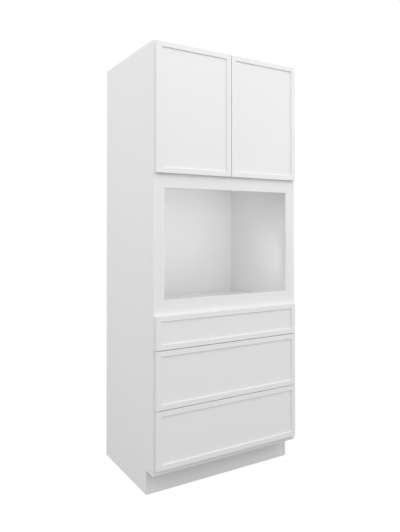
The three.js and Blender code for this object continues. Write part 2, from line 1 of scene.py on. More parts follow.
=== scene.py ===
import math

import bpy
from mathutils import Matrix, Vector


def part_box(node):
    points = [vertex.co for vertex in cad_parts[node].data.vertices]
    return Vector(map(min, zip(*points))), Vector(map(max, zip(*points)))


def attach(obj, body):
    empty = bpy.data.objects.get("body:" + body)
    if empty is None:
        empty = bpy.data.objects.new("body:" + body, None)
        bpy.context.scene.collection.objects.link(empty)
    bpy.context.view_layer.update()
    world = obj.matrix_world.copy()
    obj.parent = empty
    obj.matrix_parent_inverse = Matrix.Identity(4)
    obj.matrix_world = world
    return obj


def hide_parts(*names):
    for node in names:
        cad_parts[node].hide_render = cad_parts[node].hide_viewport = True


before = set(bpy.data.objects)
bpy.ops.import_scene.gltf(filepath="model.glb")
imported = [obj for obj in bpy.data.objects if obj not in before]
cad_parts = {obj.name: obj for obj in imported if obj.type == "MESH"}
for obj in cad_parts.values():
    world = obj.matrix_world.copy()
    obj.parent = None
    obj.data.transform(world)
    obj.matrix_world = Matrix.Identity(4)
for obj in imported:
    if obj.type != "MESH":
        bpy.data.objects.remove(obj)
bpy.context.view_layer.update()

# %% [markdown]
# # A tall oven housing unit
#
# The object is a white painted kitchen cabinet with two doors over an open oven cavity and three
# drawers below it. Its boards, fronts, slides and hinges come in at their real size from the CAD
# model. This lesson gives them their finishes, adds the fittings that are too small for the CAD
# model, and sets up the light and the camera. Everything is in metres, with the front facing -Y,
# +X to the viewer's right and the floor at z = 0.

# %% [markdown]
# ## The camera
#
# The photograph is taken from chest height, to the left of the unit, and its upright edges stay
# upright. A camera that is tilted down could frame the unit as well, but would make its sides
# lean together. So the lens stays almost level, and a little shift brings the whole unit into
# the frame. The place, the turn and the lens were found by fitting the unit's edges to the
# photograph.

# %% The camera at the height and angle of the photograph
CAMERA_PLACE = (-1.46929, -2.5461, 1.257935)
CAMERA_YAW = math.radians(32.189)
CAMERA_PITCH = math.radians(0.573)
CAMERA_LENS = 36.14
CAMERA_SHIFT = (-0.0388, -0.0812)
SENSOR_WIDTH = 36


def make_camera():
    data = bpy.data.cameras.new("camera")
    data.sensor_width = SENSOR_WIDTH
    data.lens = CAMERA_LENS
    data.shift_x, data.shift_y = CAMERA_SHIFT
    data.dof.use_dof = False
    camera = bpy.data.objects.new("camera", data)
    bpy.context.scene.collection.objects.link(camera)
    camera.location = CAMERA_PLACE
    camera.rotation_euler = (math.pi / 2 + CAMERA_PITCH, 0, -CAMERA_YAW)
    bpy.context.scene.camera = camera


make_camera()
print("camera stands", round(math.hypot(*CAMERA_PLACE[:2]), 2), "m from the unit's middle")

# %% [markdown]
# ## Small helpers for materials
#
# A procedural material is a tree of nodes: patterns feed colour, roughness and bumps. Such a tree
# can be drawn by hand in the shader editor. In code it stays readable when one call places a node
# together with its settings and what feeds it, so the recipes below are built from these helpers.

# %% A node, its settings and what feeds it
def feed(tree, node, socket, value):
    if isinstance(value, bpy.types.NodeSocket):
        tree.links.new(value, node.inputs[socket])
    else:
        node.inputs[socket].default_value = value


def add_node(tree, kind, inputs=None, **settings):
    made = tree.nodes.new(kind)
    for name, value in settings.items():
        setattr(made, name, value)
    for socket, value in (inputs or {}).items():
        feed(tree, made, socket, value)
    return made


def new_material(name):
    material = bpy.data.materials.new(name)
    material.use_nodes = True
    tree = material.node_tree
    place = add_node(tree, "ShaderNodeTexCoord").outputs["Object"]
    return material, tree, tree.nodes["Principled BSDF"], place


# %% Patterns: noise, and a value brought to another range
NOISE_LOW, NOISE_HIGH = 0.3, 0.7  # noise is seldom below or above these


def noise(tree, place, scale, detail=3.0, stretch=(1, 1, 1)):
    moved = add_node(tree, "ShaderNodeMapping", {"Vector": place, "Scale": stretch})
    made = add_node(tree, "ShaderNodeTexNoise",
                    {"Vector": moved.outputs[0], "Scale": scale, "Detail": detail})
    return made.outputs["Fac"]


def between(tree, value, low, high, start=NOISE_LOW, end=NOISE_HIGH):
    made = add_node(tree, "ShaderNodeMapRange", {
        "Value": value, "From Min": start, "From Max": end, "To Min": low, "To Max": high})
    return made.outputs["Result"]


# %% Colours: greys, and a blend of two colours
BLEND_FACTOR, BLEND_FIRST, BLEND_SECOND = 0, 6, 7  # the Mix node's sockets for colours
BLEND_RESULT = 2


def blend_colours(tree, factor, first, second):
    made = add_node(tree, "ShaderNodeMix", {
        BLEND_FACTOR: factor, BLEND_FIRST: first, BLEND_SECOND: second},
        data_type="RGBA", clamp_factor=True)
    return made.outputs[BLEND_RESULT]


def grey(level, warmth=0.0):
    return (level + warmth, level, level - warmth, 1)


# %% [markdown]
# ## White paint
#
# Doors, fronts and face frame are sprayed: neutral white, satin, with a very fine orange-peel
# skin. Where boards end, the film is thin and the edge rounded by about a millimetre. One flat
# colour would look like paper, and a picture of paint would repeat itself. So noise makes the
# body a little cloudy, puts fine specks in it and varies its gloss, and a Bump node raises the
# skin. The Bevel node rounds the shading of every edge and leaves the mesh alone. Where its
# normal departs from the flat one, the paint is darker: worn on outer edges, and painted shade
# in inner corners and creases, which the Bevel node finds as well.

# %% How far a point is from flat, used for soft edges, edge wear and painted shade in creases
BEVEL_SAMPLES = 6
FULL_BEND, WHOLE_FACE = 0.8, 0.995  # how alike the rounded and the flat normal are there


def likeness(tree, first, second):
    return add_node(tree, "ShaderNodeVectorMath", {0: first, 1: second},
                    operation="DOT_PRODUCT").outputs["Value"]


def soft_edges(tree, radius):
    rounded = add_node(tree, "ShaderNodeBevel", {"Radius": radius},
                       samples=BEVEL_SAMPLES).outputs[0]
    flat = add_node(tree, "ShaderNodeNewGeometry").outputs["Normal"]
    # The mask is high at outer edges and at inner corners and creases alike; a darker colour laid
    # on it is painted shade in the creases.
    edges_and_creases = between(tree, likeness(tree, rounded, flat), 1.0, 0.0, FULL_BEND, WHOLE_FACE)
    return rounded, edges_and_creases


# %% The body of a white film, and its skin
WHITE = 0.86
CLOUD_SCALE, GLOSS_SCALE, SPECK_SCALE = 2.3, 45, 160
CLOUD_WHITE = grey(WHITE * 0.99)
SPECK_WHITE = grey(WHITE * 0.985)
SPECK_SHARE = 0.35
SKIN_DEPTH = 0.0004


def satin_white(tree, place, surface, gloss):
    clouds = between(tree, noise(tree, place, CLOUD_SCALE), 0, 1)
    specks = between(tree, noise(tree, place, SPECK_SCALE, detail=2), 0, SPECK_SHARE)
    body = blend_colours(tree, clouds, CLOUD_WHITE, grey(WHITE))
    feed(tree, surface, "Roughness", between(tree, noise(tree, place, GLOSS_SCALE), *gloss))
    return blend_colours(tree, specks, body, SPECK_WHITE)


def skin(tree, place, surface, normal, strength, scale):
    peel = add_node(tree, "ShaderNodeBump", {
        "Height": noise(tree, place, scale, detail=1), "Normal": normal,
        "Strength": strength, "Distance": SKIN_DEPTH})
    feed(tree, surface, "Normal", peel.outputs[0])


# %% [markdown]
# A recipe describes a white film: the range of its roughness, the radius of its soft edges in
# metres, the darker colour of its edges and creases, which is worn paint on outer edges and
# painted shade in inner corners, the strength and fineness of its skin, and how strongly it
# reflects. Two films differ only in these, so one function mixes both. The reflection is the
# same all over the film, so it goes straight onto the shader.

# %% A white film from its recipe
# The darker grey at edges and creases is worn paint on outer edges and painted shade in inner
# corners.
PAINT = {"gloss": (0.38, 0.47), "edge": 0.0011, "edges_and_creases": grey(0.82, 0.004),
         "peel": 0.06, "fineness": 420, "shine": 0.4}


def white_film(tree, place, surface, gloss, edge, edges_and_creases, peel, fineness, shine):
    body = satin_white(tree, place, surface, gloss)
    normal, wear_and_crease_shade = soft_edges(tree, edge)
    skin(tree, place, surface, normal, peel, fineness)
    feed(tree, surface, "Specular IOR Level", shine)
    # Darker at edges and creases: worn paint on outer edges, painted shade in inner corners and
    # creases.
    return blend_colours(tree, wear_and_crease_shade, body, edges_and_creases)


def painted(name):
    material, tree, surface, place = new_material(name)
    feed(tree, surface, "Base Color", white_film(tree, place, surface, **PAINT))
    return material


WHITE_PAINT = painted("white_paint")
print("paint made with", len(WHITE_PAINT.node_tree.nodes), "nodes")

# %% [markdown]
# ## Plywood
#
# The sides, decks and back are plywood with a white face. What nobody sees once the unit stands
# in its row is left raw: the rear and top edges of the sides, where the plies show as stripes,
# and the outward faces of the top, the back and the bottom deck. Raw faces could be separate
# boards, but the CAD meshes stay as they are. So a mask on the direction of the surface picks
# the raw places out, and one material serves the whole board.

# %% Which way a surface faces
TURNED_AWAY, TURNED_TO = 0.6, 0.8  # how alike the surface's direction and the given one are


def facing_way(tree, direction):
    own_normal = add_node(tree, "ShaderNodeTexCoord").outputs["Normal"]
    return between(tree, likeness(tree, own_normal, direction), 0, 1, TURNED_AWAY, TURNED_TO)


def either(tree, first, second):
    return add_node(tree, "ShaderNodeMath", {0: first, 1: second},
                    operation="MAXIMUM").outputs[0]


# %% Bare birch on an edge: stripes of plies
PLY = 0.00272
WAVES_PER_METRE = 20  # in radians, of a Wave node whose scale is 1
PLY_WOBBLE = {"Distortion": 0.4, "Detail": 1.0, "Detail Scale": 3.0}
PALE_BIRCH = (0.69, 0.54, 0.36, 1)
DARK_BIRCH = (0.50, 0.35, 0.20, 1)


def plies(tree, place, direction):
    pale_and_dark = 2 * PLY
    scale = 2 * math.pi / (WAVES_PER_METRE * pale_and_dark)
    bands = add_node(tree, "ShaderNodeTexWave", {"Vector": place, "Scale": scale, **PLY_WOBBLE},
                     wave_type="BANDS", bands_direction=direction).outputs["Fac"]
    return blend_colours(tree, between(tree, bands, 0, 1), DARK_BIRCH, PALE_BIRCH)


# %% Bare birch on a face: long streaks and pale patches
STREAK_SCALE, PATCH_SCALE = 55, 4
BIRCH_SQUEEZE = 0.04
STREAK_SHARES = (0.15, 0.75)
MIDDLE_NOISE = (0.35, 0.65)
PATCH_BIRCH = (0.74, 0.60, 0.42, 1)
PATCH_SHARE = 0.35


def grain_along(grain, squeeze):
    return tuple(squeeze if axis == grain else 1 for axis in "XYZ")


def streaks(tree, place, stretch):
    long_grain = noise(tree, place, STREAK_SCALE, detail=5, stretch=stretch)
    patches = noise(tree, place, PATCH_SCALE, detail=2, stretch=stretch)
    dark = between(tree, long_grain, *STREAK_SHARES, *MIDDLE_NOISE)
    wood = blend_colours(tree, dark, PALE_BIRCH, DARK_BIRCH)
    return blend_colours(tree, between(tree, patches, 0, PATCH_SHARE), wood, PATCH_BIRCH)


# %% The two kinds of board: painted sides, and decks that come with a white face
# Here too the darker grey at edges and creases is worn film on outer edges and painted shade in
# inner corners.
LAMINATE_FACE = {"gloss": (0.42, 0.55), "edge": 0.0004, "edges_and_creases": grey(0.80, 0.006),
                 "peel": 0.04, "fineness": 900, "shine": 0.35}
TO_THE_REAR, UPWARDS, DOWNWARDS = (0, 1, 0), (0, 0, 1), (0, 0, -1)


def side_board(name):
    material, tree, surface, place = new_material(name)
    body = white_film(tree, place, surface, **PAINT)
    raw = either(tree, facing_way(tree, TO_THE_REAR), facing_way(tree, UPWARDS))
    feed(tree, surface, "Base Color", blend_colours(tree, raw, body, plies(tree, place, "X")))
    return material


def laminated_board(name, raw_ways=(), grain="X"):
    material, tree, surface, place = new_material(name)
    body = white_film(tree, place, surface, **LAMINATE_FACE)
    for way in raw_ways:
        wood = streaks(tree, place, grain_along(grain, BIRCH_SQUEEZE))
        body = blend_colours(tree, facing_way(tree, way), body, wood)
    feed(tree, surface, "Base Color", body)
    return material


# %% The boards' materials
SIDE_BOARD = side_board("plywood_side")
LAMINATE = laminated_board("white_laminate")
TOP_BOARD = laminated_board("top_board", [UPWARDS])
BACK_BOARD = laminated_board("back_board", [TO_THE_REAR, UPWARDS], grain="Z")
BOTTOM_BOARD = laminated_board("bottom_board", [DOWNWARDS])
SIDE_LOW, SIDE_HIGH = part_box("left_side_panel")
print("a side's edge shows", round((SIDE_HIGH.x - SIDE_LOW.x) / PLY), "plies")

# %% [markdown]
# ## Maple for the drawer boxes
#
# Drawer boxes are solid maple under clear lacquer, with the grain along each board. A picture of
# wood could be laid on each face, but it would break at every edge. Noise fills space, so it
# runs through a board and round its edges as real grain does. It is drawn out along the grain to
# make the streaks. A board's ends show end grain, which is darker and has no streaks.

# %% The colour of maple: broad and fine streaks, and darker ends
PALE_MAPLE = (0.74, 0.58, 0.38, 1)
DARK_MAPLE = (0.60, 0.43, 0.25, 1)
END_MAPLE = (0.47, 0.32, 0.18, 1)
BROAD_SCALE, RING_SCALE = 26, 700
MAPLE_SQUEEZE = 0.05
FINE_SHARE = 0.4
FINE_NOISE = (0.4, 0.7)


def maple_colour(tree, place, fine, grain):
    squeezed = grain_along(grain, MAPLE_SQUEEZE)
    broad = noise(tree, place, BROAD_SCALE, detail=3, stretch=squeezed)
    dark = between(tree, broad, 0, 1, *MIDDLE_NOISE)
    wood = blend_colours(tree, dark, PALE_MAPLE, DARK_MAPLE)
    wood = blend_colours(tree, between(tree, fine, 0, FINE_SHARE, *FINE_NOISE), wood, DARK_MAPLE)
    way = tuple(1 if axis == grain else 0 for axis in "XYZ")
    back = tuple(-part for part in way)
    ends = either(tree, facing_way(tree, way), facing_way(tree, back))
    rings = between(tree, noise(tree, place, RING_SCALE), 0, 1)
    return blend_colours(tree, ends, wood, blend_colours(tree, rings, END_MAPLE, DARK_MAPLE))


# %% Lacquered maple with the grain along X or Y
FINE_SCALE = 240
MAPLE_EDGE = 0.0005
MAPLE_RUBBED = 0.4
MAPLE_GLOSS = (0.36, 0.5)
PORES = {"Strength": 0.12, "Distance": 0.0003}
LACQUER = 0.25  # how much of a clear coat, and how rough it is


def maple(name, grain):
    material, tree, surface, place = new_material(name)
    squeezed = grain_along(grain, MAPLE_SQUEEZE)
    fine = noise(tree, place, FINE_SCALE, detail=4, stretch=squeezed)
    wood = maple_colour(tree, place, fine, grain)
    normal, edges_and_creases = soft_edges(tree, MAPLE_EDGE)
    rubbed = between(tree, edges_and_creases, 0, MAPLE_RUBBED, 0, 1)
    feed(tree, surface, "Base Color", blend_colours(tree, rubbed, wood, PALE_MAPLE))
    feed(tree, surface, "Roughness", between(tree, fine, *MAPLE_GLOSS))
    pores = add_node(tree, "ShaderNodeBump", {"Height": fine, "Normal": normal, **PORES})
    feed(tree, surface, "Normal", pores.outputs[0])
    feed(tree, surface, "Coat Weight", LACQUER)
    feed(tree, surface, "Coat Roughness", LACQUER)
    return material


MAPLE_ACROSS = maple("maple_across", "X")
MAPLE_ALONG = maple("maple_along", "Y")
print("maple made:", MAPLE_ACROSS.name, "and", MAPLE_ALONG.name)

# %% [markdown]
# ## Metal and moulded fittings
#
# The slides are rolled from zinc-plated strip, so they carry faint lines along their length. The
# hinges are pressed steel with a bright nickel plate. Levers and bumpers are moulded. Steel with
# one grey and one roughness would pass for a mirror or for grey plastic. So fine noise breaks up
# the highlight, soft stains vary the plate, and its edges are a little brighter, as if rubbed.

# %% Plated steel
ROLLED_SCALE, STAIN_SCALE = 900, 70
STAINED, RUBBED = 0.9, 1.08  # how dark the stains and how bright the edges are
ZINC_SQUEEZE = 0.02
FITTING_EDGE = 0.0003
LINE_DEPTH = 0.0002


def shaded(colour, share):
    return tuple(min(1, part * share) for part in colour[:3]) + (1,)


def plated(name, colour, gloss, stretch, lines):
    material, tree, surface, place = new_material(name)
    rolled = noise(tree, place, ROLLED_SCALE, detail=2, stretch=stretch)
    stains = between(tree, noise(tree, place, STAIN_SCALE, detail=3), 0, 1)
    body = blend_colours(tree, stains, shaded(colour, STAINED), colour)
    normal, edges_and_creases = soft_edges(tree, FITTING_EDGE)
    feed(tree, surface, "Base Color", blend_colours(tree, edges_and_creases, body, shaded(colour, RUBBED)))
    feed(tree, surface, "Roughness", between(tree, rolled, *gloss))
    feed(tree, surface, "Metallic", 1.0)
    bump = add_node(tree, "ShaderNodeBump", {
        "Height": rolled, "Normal": normal, "Strength": lines, "Distance": LINE_DEPTH})
    feed(tree, surface, "Normal", bump.outputs[0])
    return material


ZINC = plated("zinc_steel", (0.60, 0.62, 0.66, 1), (0.28, 0.45),
              grain_along("Y", ZINC_SQUEEZE), lines=0.12)
NICKEL = plated("nickel_steel", (0.72, 0.70, 0.66, 1), (0.16, 0.30),
                (1, 1, 1), lines=0.05)
print("each steel made with", len(ZINC.node_tree.nodes), "nodes")


# %% Moulded fittings
MOTTLE_SCALE, SHEEN_SCALE, MOULD_SCALE = 300, 120, 1500
MOTTLED, SCUFFED = 0.85, 1.5  # how dark the mottling and how bright the edges are
MOULD_RUBBED = 0.5


def moulded(name, level, gloss):
    material, tree, surface, place = new_material(name)
    body = blend_colours(tree, between(tree, noise(tree, place, MOTTLE_SCALE), 0, 1),
                         grey(level * MOTTLED), grey(level))
    normal, edges_and_creases = soft_edges(tree, FITTING_EDGE)
    rubbed = between(tree, edges_and_creases, 0, MOULD_RUBBED, 0, 1)
    feed(tree, surface, "Base Color",
         blend_colours(tree, rubbed, body, grey(min(1, level * SCUFFED))))
    feed(tree, surface, "Roughness",
         between(tree, noise(tree, place, SHEEN_SCALE), *gloss))
    skin(tree, place, surface, normal, strength=0.08, scale=MOULD_SCALE)
    return material


BLACK_NYLON = moulded("black_nylon", 0.035, (0.42, 0.6))
CLEAR_BUMPER = moulded("bumper_rubber", 0.62, (0.25, 0.4))
print("moulded finishes made:", BLACK_NYLON.name, "and", CLEAR_BUMPER.name)

# %% [markdown]
# ## Which piece gets which finish
#
# Every CAD piece comes in plain, and its name says what it is. A list of all the pieces with
# their finishes would work, but it is long and easily gets out of step. So the end of a name
# picks the finish, a short list holds the boards, and whatever is left is painted.

# %% Give each CAD node its finish
BOARDS = {
    "left_side_panel": SIDE_BOARD,
    "right_side_panel": SIDE_BOARD,
    "top_panel": TOP_BOARD,
    "back_panel": BACK_BOARD,
    "bottom_deck": BOTTOM_BOARD,
    "oven_deck": LAMINATE,
    "upper_deck": LAMINATE,
    "fixed_shelf": LAMINATE,
}


def finish_of(name):
    if name.endswith(("_box", "_bottom")):
        return MAPLE_ACROSS
    if "_hinge_" in name:
        return NICKEL
    if name.endswith(("outer_rail", "centre_rail", "inner_rail")):
        return ZINC
    return BOARDS.get(name, WHITE_PAINT)


for name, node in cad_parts.items():
    node.data.materials.clear()
    node.data.materials.append(finish_of(name))
print("finished", len(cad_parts), "CAD nodes")

# %% [markdown]
# ## Tools for modelling by hand
#
# Each new piece starts as a primitive and is shaped in edit mode. An operator acts on everything
# that is selected, so each helper first clears the selection. A finished piece keeps its place
# in its mesh and its object at the origin.

# %% Select one piece, and apply its place
def only(piece):
    bpy.ops.object.select_all(action="DESELECT")
    bpy.context.view_layer.objects.active = piece
    piece.select_set(True)


def settle(name):
    piece = bpy.context.object
    piece.name = name
    bpy.ops.object.transform_apply(location=True, rotation=True, scale=True)
    return piece


# %% Start from a primitive
def board(name, low, high):
    bpy.ops.object.select_all(action="DESELECT")
    middle = [(a + b) / 2 for a, b in zip(low, high)]
    size = [b - a for a, b in zip(low, high)]
    bpy.ops.mesh.primitive_cube_add(size=1, location=middle, scale=size)
    return settle(name)


def disc(name, radius, depth, place, sides):
    bpy.ops.object.select_all(action="DESELECT")
    bpy.ops.mesh.primitive_cylinder_add(
        radius=radius, depth=depth, vertices=sides, location=place)
    return settle(name)


# %% Pick faces by their place or direction, and shape them
def pick_faces(piece, wanted):
    only(piece)
    bpy.ops.object.mode_set(mode="EDIT")
    bpy.ops.mesh.select_mode(type="FACE")
    bpy.ops.mesh.select_all(action="DESELECT")
    bpy.ops.object.mode_set(mode="OBJECT")
    for face in piece.data.polygons:
        face.select = wanted(face.center, face.normal)
    bpy.ops.object.mode_set(mode="EDIT")


def leave_edit():
    bpy.ops.object.mode_set(mode="OBJECT")


MOSTLY = 0.5  # how far a face's direction must lean one way to count


def upper_face(place, normal):
    return normal.z > MOSTLY


def lower_face(place, normal):
    return normal.z < -MOSTLY


# %% Booleans and soft edges
SMOOTH_BELOW = math.radians(35)


def boolean(piece, tool, operation="DIFFERENCE"):
    modifier = piece.modifiers.new(operation.lower(), "BOOLEAN")
    modifier.object = tool
    modifier.operation = operation
    modifier.solver = "EXACT"
    bpy.context.view_layer.objects.active = piece
    bpy.ops.object.modifier_apply(modifier=modifier.name)


def smooth(piece):
    only(piece)
    bpy.ops.object.shade_smooth_by_angle(angle=SMOOTH_BELOW)


def soften(piece, width, segments=1):
    modifier = piece.modifiers.new("edges", "BEVEL")
    modifier.width = width
    modifier.segments = segments
    modifier.limit_method = "ANGLE"
    only(piece)
    bpy.ops.object.modifier_apply(modifier=modifier.name)
    smooth(piece)


# %% Copy, join and hand over
def copy_of(piece, name, change):
    data = piece.data.copy()
    data.transform(change)
    made = bpy.data.objects.new(name, data)
    bpy.context.scene.collection.objects.link(made)
    return made


def joined(pieces, name):
    bpy.ops.object.select_all(action="DESELECT")
    for piece in pieces:
        piece.select_set(True)
    bpy.context.view_layer.objects.active = pieces[0]
    if len(pieces) > 1:
        bpy.ops.object.join()
    pieces[0].name = name
    return pieces[0]


def belongs(piece, body, material):
    piece.data.materials.clear()
    piece.data.materials.append(material)
    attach(piece, body)


def discard(*pieces):
    for piece in pieces:
        bpy.data.objects.remove(piece)


# %% [markdown]
# ## Dovetailed drawer boxes
#
# The walls of a good drawer box meet in dovetails: wedge-shaped tails on the ends of the side
# boards lock between pins on the front and rear boards. The tails could be modelled into every
# board by hand, but one comb of wedges does all four corners. Joined to a side board it makes
# the tails, and taken from a front or rear board it makes the pins, so the two always fit.

# %% Sizes of the joint
WALL = 0.015875
TAIL_PITCH = 0.0508
TAIL_WIDE = 0.034
TAIL_NARROW = 0.029
ROOT_OVERLAP = 0.002
GLUE_LINE = 0.00008
BOTTOM_RISE = 0.0127
BOTTOM_THICKNESS = 0.00645
GROOVE_DEPTH = 0.006
WALL_EDGE = 0.0006
SAME_PLACE = 1e-5
SLOPE = math.degrees(math.atan((TAIL_WIDE - TAIL_NARROW) / 2 / WALL))
print("the tails slope by", round(SLOPE, 1), "degrees")


# %% One tail: a board whose outer end is drawn wider
def tail(name, x_low, y_root, y_end, z_middle, grow):
    outwards = (y_end - y_root) / abs(y_end - y_root)
    end = y_end + outwards * grow
    root = y_root - outwards * ROOT_OVERLAP
    low = (x_low - grow, min(root, end), z_middle - TAIL_NARROW / 2 - grow)
    high = (x_low + WALL + grow, max(root, end), z_middle + TAIL_NARROW / 2 + grow)
    wedge = board(name, low, high)
    pick_faces(wedge, lambda place, normal: abs(place.y - end) < SAME_PLACE)
    spread = (TAIL_WIDE + 2 * grow) / (TAIL_NARROW + 2 * grow)
    bpy.ops.transform.resize(value=(1, 1, spread))
    leave_edit()
    return wedge


# %% One comb of tails for a corner
def tail_comb(name, low, high, x_low, y_root, y_end, grow=0.0):
    count = round((high.z - low.z) / TAIL_PITCH)
    margin = ((high.z - low.z) - count * TAIL_PITCH) / 2
    heights = [low.z + margin + TAIL_PITCH * (step + 0.5) for step in range(count)]
    wedges = [tail(f"{name}_{z:.3f}", x_low, y_root, y_end, z, grow) for z in heights]
    return joined(wedges, name)


# %% The groove that holds the bottom runs round the inside
def bottom_groove(low, high):
    reach = WALL - GROOVE_DEPTH
    return board("groove", (low.x + reach, low.y + reach, low.z + BOTTOM_RISE),
                 (high.x - reach, high.y - reach, low.z + BOTTOM_RISE + BOTTOM_THICKNESS))


# %% Four plain boards for each box
def plain_walls(drawer, low, high):
    sides = {
        "left": board(f"{drawer}_left_wall", (low.x, low.y + WALL, low.z),
                      (low.x + WALL, high.y - WALL, high.z)),
        "right": board(f"{drawer}_right_wall", (high.x - WALL, low.y + WALL, low.z),
                       (high.x, high.y - WALL, high.z)),
    }
    ends = {
        "front": board(f"{drawer}_front_wall", low, (high.x, low.y + WALL, high.z)),
        "rear": board(f"{drawer}_rear_wall", (low.x, high.y - WALL, low.z), high),
    }
    return sides, ends


# %% Tails on the sides and pins on the ends, corner by corner
def corners_of(low, high):
    for x_low in (low.x, high.x - WALL):
        yield x_low, low.y + WALL, low.y
        yield x_low, high.y - WALL, high.y


def dovetail(sides, ends, low, high):
    for x_low, y_root, y_end in corners_of(low, high):
        side = sides["left" if x_low == low.x else "right"]
        end = ends["front" if y_end == low.y else "rear"]
        tails = tail_comb("tails", low, high, x_low, y_root, y_end)
        boolean(side, tails, "UNION")
        sockets = tail_comb("sockets", low, high, x_low, y_root, y_end, grow=GLUE_LINE)
        boolean(end, sockets)
        discard(tails, sockets)


# %% Each box in place of the CAD model's plain one
def drawer_box(drawer):
    low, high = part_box(f"{drawer}_box")
    groove = bottom_groove(low, high)
    sides, ends = plain_walls(drawer, low, high)
    dovetail(sides, ends, low, high)
    walls = (*sides.values(), *ends.values())
    for wall in walls:
        boolean(wall, groove)
        soften(wall, WALL_EDGE)
    discard(groove)
    for wall in sides.values():
        belongs(wall, drawer, MAPLE_ALONG)
    for wall in ends.values():
        belongs(wall, drawer, MAPLE_ACROSS)
    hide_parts(f"{drawer}_box")
    print(drawer, "walls have", [len(wall.data.polygons) for wall in walls], "faces")


DRAWERS = ("upper_drawer", "middle_drawer", "lower_drawer")
for drawer in DRAWERS:
    drawer_box(drawer)

# %% [markdown]
# ## Screws
#
# Screws hold the hinges, the slides and the drawer boxes' fronts. A screw is a turned head with
# a cross recess, on a shank that ends in a point. The head could be a sphere cut in half, but a
# short cylinder with a bevelled rim gives the flatter pan shape, and the same steps with other
# sizes give a flat head. The recess is cut with two crossed bars that narrow towards their
# lower end. Each copy in a set is spun a little further than the last, because screws that are
# driven by hand never line up.

# %% Place copies: the pattern's own z axis points the given way
def placed(place, way, along=(0, 0, 1), spin=0.0):
    z_axis = Vector(way)
    y_axis = Vector(along)
    turn = Matrix((y_axis.cross(z_axis), y_axis, z_axis)).transposed().to_4x4()
    return Matrix.Translation(place) @ turn @ Matrix.Rotation(spin, 4, "Z")


def set_of(pattern, name, spots, along=(0, 0, 1), spin=0.0):
    made = [copy_of(pattern, f"{name}_{number}", placed(place, way, along, spin * number))
            for number, (place, way) in enumerate(spots)]
    return joined(made, name)


# %% A short cylinder with a rounded rim, for heads, rivets and bumpers
def domed(name, radius, height, rim, sides, steps=3):
    made = disc(name, radius, height, (0, 0, height / 2), sides)
    pick_faces(made, upper_face)
    bpy.ops.mesh.bevel(offset=rim, segments=steps)
    leave_edit()
    return made


# %% The cross recess
RECESS_TAPER = 0.5
RECESS_REACH, RECESS_WIDTH = 0.58, 0.26  # shares of the head's radius
RECESS_DEPTH = 0.85


def cut_cross(head, reach, width, top, depth):
    for half_x, half_y in ((reach, width / 2), (width / 2, reach)):
        bar = board("bar", (-half_x, -half_y, top - depth), (half_x, half_y, top + depth))
        pick_faces(bar, lower_face)
        bpy.ops.transform.resize(value=(RECESS_TAPER, RECESS_TAPER, 1))
        leave_edit()
        boolean(head, bar)
        discard(bar)


# %% A screw from its head, its shank and its point
POINT_SHARE = 0.25
POINT_WIDTH = 0.12
HEAD_SIDES = 20


def screw(name, head, height, shank, length, rim):
    made = domed(name, head, height, rim, HEAD_SIDES)
    pick_faces(made, lower_face)
    bpy.ops.mesh.inset(thickness=head - shank)
    for share, width in ((1 - POINT_SHARE, 1), (POINT_SHARE, POINT_WIDTH)):
        bpy.ops.mesh.extrude_region_move(
            TRANSFORM_OT_translate={"value": (0, 0, -length * share)})
        bpy.ops.transform.resize(value=(width, width, 1))
    leave_edit()
    cut_cross(made, head * RECESS_REACH, head * RECESS_WIDTH, height,
              min(height, shank) * RECESS_DEPTH)
    smooth(made)
    return made


# %% The five screws: head's radius and height, shank's radius and length, and rim
SCREW_SIZES = {
    "slide_screw": (0.0036, 0.0018, 0.0017, 0.0100, 0.0008),
    "plate_screw": (0.0034, 0.0016, 0.0016, 0.0120, 0.0007),
    "flush_screw": (0.0032, 0.00016, 0.0016, 0.0100, 0.00004),
    "front_screw": (0.0048, 0.0022, 0.0020, 0.0240, 0.0009),
    "cam_screw": (0.0027, 0.0011, 0.0020, 0.0020, 0.0003),
}
SCREWS = {name: screw(name, *sizes) for name, sizes in SCREW_SIZES.items()}
for name, pattern in SCREWS.items():
    print(name, "has", len(pattern.data.polygons), "faces")

# %% [markdown]
# ## Hinge fittings
#
# Each hinge plate is held by two screws and has a cam screw that sets the door sideways. The two
# screws of a cup are flush, because the closed door leaves only a sliver of room there. The
# arm's pin is riveted over at both ends, and a coiled spring round the cup's pin pulls the door
# shut. The spring could be a stack of rings, which looks right from afar. The Screw modifier
# sweeps one small circle along a helix instead, and gives a true coil with as few faces.

# %% Where the hinges are, from the opening's edge and the frame's front
FRAME_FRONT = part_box("left_stile")[0].y
OPENING_EDGE = -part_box("left_stile")[1].x
HALF_FRAME = 0.009525
FRAME_MIDDLE = FRAME_FRONT + HALF_FRAME
HANDS = {"left": -1, "right": 1}
LEVELS = ("upper", "lower")


def at_hinge(side, u, v, z):
    return (side * (OPENING_EDGE + u), FRAME_FRONT - v, z)


def each_hinge():
    for hand, side in HANDS.items():
        for level in LEVELS:
            low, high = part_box(f"{hand}_{level}_hinge_arm")
            yield f"{hand}_{level}_hinge", hand, side, (low.z + high.z) / 2


print("hinges stand at heights of", sorted({round(hinge[3], 3) for hinge in each_hinge()}), "m")

# %% A hinge's plate has two screws and a cam
PLATE_FACE = 0.0018
PLATE_SCREW_RISE = 0.014
CAM_BEHIND_FRONT = 0.0158


def fit_plate(stem, side, z):
    inwards = (-side, 0, 0)
    plate_x = side * (OPENING_EDGE - PLATE_FACE)
    plate_spots = [((plate_x, FRAME_MIDDLE, z + rise), inwards)
                   for rise in (-PLATE_SCREW_RISE, PLATE_SCREW_RISE)]
    belongs(set_of(SCREWS["plate_screw"], f"{stem}_plate_screws", plate_spots, spin=0.7),
            "cabinet", NICKEL)
    cam_spot = [((plate_x, FRAME_FRONT + CAM_BEHIND_FRONT, z), inwards)]
    belongs(set_of(SCREWS["cam_screw"], f"{stem}_cam", cam_spot),
            "cabinet", NICKEL)


